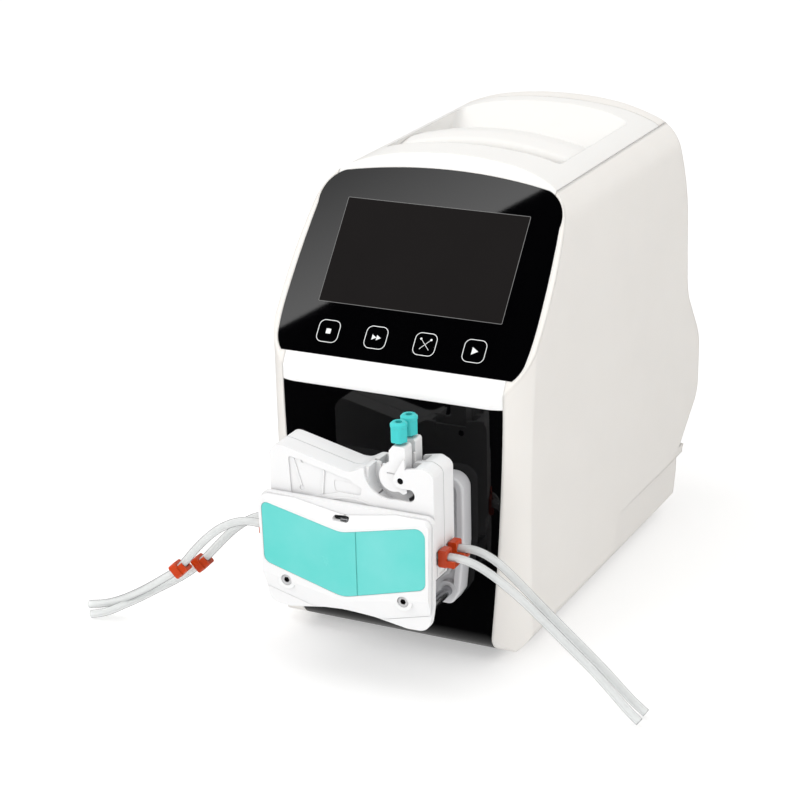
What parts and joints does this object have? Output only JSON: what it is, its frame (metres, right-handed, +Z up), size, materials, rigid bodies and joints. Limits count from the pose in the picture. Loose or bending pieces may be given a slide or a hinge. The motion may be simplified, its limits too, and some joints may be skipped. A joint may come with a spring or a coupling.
{
  "type": "peristaltic pump",
  "caption": "Bench-top peristaltic pump with a tilted touch display and a roller pump head that carries lift-off tubing cassettes.",
  "frame": {"origin": "centre of the bounding-box footprint, at bench level under the feet", "axes": "+X to the right of someone facing the fascia, +Y from the pump head towards the rear connectors, +Z up"},
  "size_m": [0.293, 0.2975, 0.2253],
  "materials": {
    "housing_white": "satin",
    "fascia_black": "gloss",
    "glass": "gloss",
    "galvanised": "satin",
    "rubber": "matte",
    "board_green": "satin",
    "display_black": "satin",
    "steel": "polished",
    "steel_rollers": "polished",
    "motor_metal": "satin",
    "aluminium": "satin",
    "plate_grey": "satin",
    "head_white": "satin",
    "teal_gloss": "gloss",
    "teal_knob": "satin",
    "shoe_grey": "satin",
    "lever_white": "satin",
    "tube_clear": "gloss",
    "stop_orange": "satin",
    "black_plastic": "satin"
  },
  "bodies": {
    "root": {"base_plate": "galvanised", "board_shelf": "galvanised", "carry_handle": "housing_white", "connector_plate": "galvanised", "control_connector": "black_plastic", "cover_back_plate": "head_white", "cover_insert": "teal_gloss", "cover_screws": "steel", "display_module": "display_black", "drive_bracket": "galvanised", "fan_frame": "black_plastic", "front_band": "housing_white", "front_cover": "head_white", "front_fascia": "fascia_black", "guide_rods": "steel", "head_mounting_plate": "plate_grey", "key_sensor_board": "board_green", "left_side_panel": "housing_white", "machine_screws": "steel", "main_board": "board_green", "motor_standoffs": "steel", "power_inlet": "black_plastic", "power_supply": "galvanised", "rear_cover": "housing_white", "right_side_panel": "housing_white", "rubber_feet": "rubber", "shaft_bearings": "steel", "stepper_motor": "motor_metal", "switch_housing": "black_plastic", "top_shell": "housing_white", "touch_glass": "glass"},
    "rotor": {"drive_shaft": "steel", "rotor_end_discs": "aluminium", "roller_pins": "steel", "shaft_coupling": "aluminium", "motor_shaft": "steel"},
    "roller_1_body": {"roller_1": "steel_rollers"},
    "roller_2_body": {"roller_2": "steel_rollers"},
    "roller_3_body": {"roller_3": "steel_rollers"},
    "roller_4_body": {"roller_4": "steel_rollers"},
    "roller_5_body": {"roller_5": "steel_rollers"},
    "roller_6_body": {"roller_6": "steel_rollers"},
    "roller_7_body": {"roller_7": "steel_rollers"},
    "roller_8_body": {"roller_8": "steel_rollers"},
    "front_cassette": {"front_cassette_frame": "head_white", "front_pump_tube": "tube_clear", "front_tube_stops": "stop_orange", "front_lever_pin_and_catch": "shoe_grey"},
    "front_lever": {"front_latch_lever": "lever_white"},
    "front_knob": {"front_occlusion_knob": "teal_knob"},
    "front_shoe": {"front_pressure_shoe": "shoe_grey"},
    "rear_cassette": {"rear_cassette_frame": "head_white", "rear_pump_tube": "tube_clear", "rear_tube_stops": "stop_orange", "rear_lever_pin_and_catch": "shoe_grey"},
    "rear_lever": {"rear_latch_lever": "lever_white"},
    "rear_knob": {"rear_occlusion_knob": "teal_knob"},
    "rear_shoe": {"rear_pressure_shoe": "shoe_grey"},
    "fan": {"fan_rotor": "black_plastic"},
    "rocker": {"rocker_switch": "black_plastic"}
  },
  "joints": [
    {"name": "rotor_spin", "type": "hinge", "parent": "root", "child": "rotor", "pos_m": [0, -0.1273, 0.061], "axis": [0, 1, 0], "continuous": true},
    {"name": "roller_1_spin", "type": "hinge", "parent": "rotor", "child": "roller_1_body", "pos_m": [0, -0.1293, 0.081], "axis": [0, 1, 0], "continuous": true},
    {"name": "roller_2_spin", "type": "hinge", "parent": "rotor", "child": "roller_2_body", "pos_m": [-0.01414, -0.1293, 0.07514], "axis": [0, 1, 0], "continuous": true},
    {"name": "roller_3_spin", "type": "hinge", "parent": "rotor", "child": "roller_3_body", "pos_m": [-0.02, -0.1293, 0.061], "axis": [0, 1, 0], "continuous": true},
    {"name": "roller_4_spin", "type": "hinge", "parent": "rotor", "child": "roller_4_body", "pos_m": [-0.01414, -0.1293, 0.04686], "axis": [0, 1, 0], "continuous": true},
    {"name": "roller_5_spin", "type": "hinge", "parent": "rotor", "child": "roller_5_body", "pos_m": [0, -0.1293, 0.041], "axis": [0, 1, 0], "continuous": true},
    {"name": "roller_6_spin", "type": "hinge", "parent": "rotor", "child": "roller_6_body", "pos_m": [0.01414, -0.1293, 0.04686], "axis": [0, 1, 0], "continuous": true},
    {"name": "roller_7_spin", "type": "hinge", "parent": "rotor", "child": "roller_7_body", "pos_m": [0.02, -0.1293, 0.061], "axis": [0, 1, 0], "continuous": true},
    {"name": "roller_8_spin", "type": "hinge", "parent": "rotor", "child": "roller_8_body", "pos_m": [0.01414, -0.1293, 0.07514], "axis": [0, 1, 0], "continuous": true},
    {"name": "front_cassette_lift", "type": "slide", "parent": "root", "child": "front_cassette", "axis": [0, 0, 1], "range_m": [0, 0.045]},
    {"name": "front_latch", "type": "hinge", "parent": "front_cassette", "child": "front_lever", "pos_m": [0.0263, -0.1347, 0.1053], "axis": [0, -1, 0], "range_deg": [0, 50]},
    {"name": "front_occlusion_turn", "type": "hinge", "parent": "front_lever", "child": "front_knob", "pos_m": [0.0238, -0.1347, 0.123], "axis": [0, 0, 1], "range_deg": [-150, 150]},
    {"name": "front_shoe_press", "type": "slide", "parent": "front_cassette", "child": "front_shoe", "axis": [0, 0, 1], "range_m": [0, 0.003]},
    {"name": "rear_cassette_lift", "type": "slide", "parent": "root", "child": "rear_cassette", "axis": [0, 0, 1], "range_m": [0, 0.045]},
    {"name": "rear_latch", "type": "hinge", "parent": "rear_cassette", "child": "rear_lever", "pos_m": [0.0263, -0.1243, 0.1053], "axis": [0, -1, 0], "range_deg": [0, 50]},
    {"name": "rear_occlusion_turn", "type": "hinge", "parent": "rear_lever", "child": "rear_knob", "pos_m": [0.0238, -0.1243, 0.123], "axis": [0, 0, 1], "range_deg": [-150, 150]},
    {"name": "rear_shoe_press", "type": "slide", "parent": "rear_cassette", "child": "rear_shoe", "axis": [0, 0, 1], "range_m": [0, 0.003]},
    {"name": "fan_spin", "type": "hinge", "parent": "root", "child": "fan", "pos_m": [0, 0.1007, 0.159], "axis": [0, 1, 0], "continuous": true},
    {"name": "power_rocker", "type": "hinge", "parent": "root", "child": "rocker", "pos_m": [-0.022, 0.1337, 0.071], "axis": [1, 0, 0], "range_deg": [-5, 5]}
  ],
  "couplings": [
    {"joint": "roller_1_spin", "follows": "rotor_spin", "ratio": -6},
    {"joint": "roller_2_spin", "follows": "rotor_spin", "ratio": -6},
    {"joint": "roller_3_spin", "follows": "rotor_spin", "ratio": -6},
    {"joint": "roller_4_spin", "follows": "rotor_spin", "ratio": -6},
    {"joint": "roller_5_spin", "follows": "rotor_spin", "ratio": -6},
    {"joint": "roller_6_spin", "follows": "rotor_spin", "ratio": -6},
    {"joint": "roller_7_spin", "follows": "rotor_spin", "ratio": -6},
    {"joint": "roller_8_spin", "follows": "rotor_spin", "ratio": -6},
    {"joint": "front_shoe_press", "follows": "front_latch", "m_per_rad": 0.0034377},
    {"joint": "rear_shoe_press", "follows": "rear_latch", "m_per_rad": 0.0034377}
  ]
}
